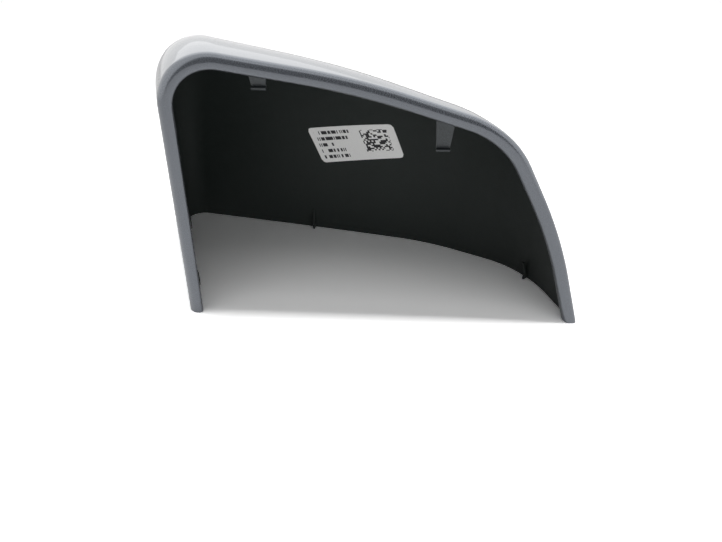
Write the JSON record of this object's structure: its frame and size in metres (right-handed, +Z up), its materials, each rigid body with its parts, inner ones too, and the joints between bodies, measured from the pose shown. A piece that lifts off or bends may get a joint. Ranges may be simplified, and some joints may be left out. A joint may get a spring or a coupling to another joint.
{
  "type": "wing mirror trim cap",
  "caption": "Painted cover cap of a car's wing mirror: a thin moulded shell, open on the mirror-glass side and below, with a rolled rim, inner catches and a label.",
  "frame": {"origin": "middle of the bounding box, on the plane of the flat lower edge", "axes": "+X along the rim from the inboard foot to the outboard tip, +Y away from the mirror glass towards the front of the car, +Z up"},
  "size_m": [0.2368, 0.0982, 0.1385],
  "materials": {
    "cap_shell": "slate blue-grey metallic paint with clear coat outside and round the rim, bare satin black plastic inside",
    "label": null
  },
  "bodies": {
    "root": {"cap_shell": "cap_shell", "label": "label"}
  },
  "joints": []
}
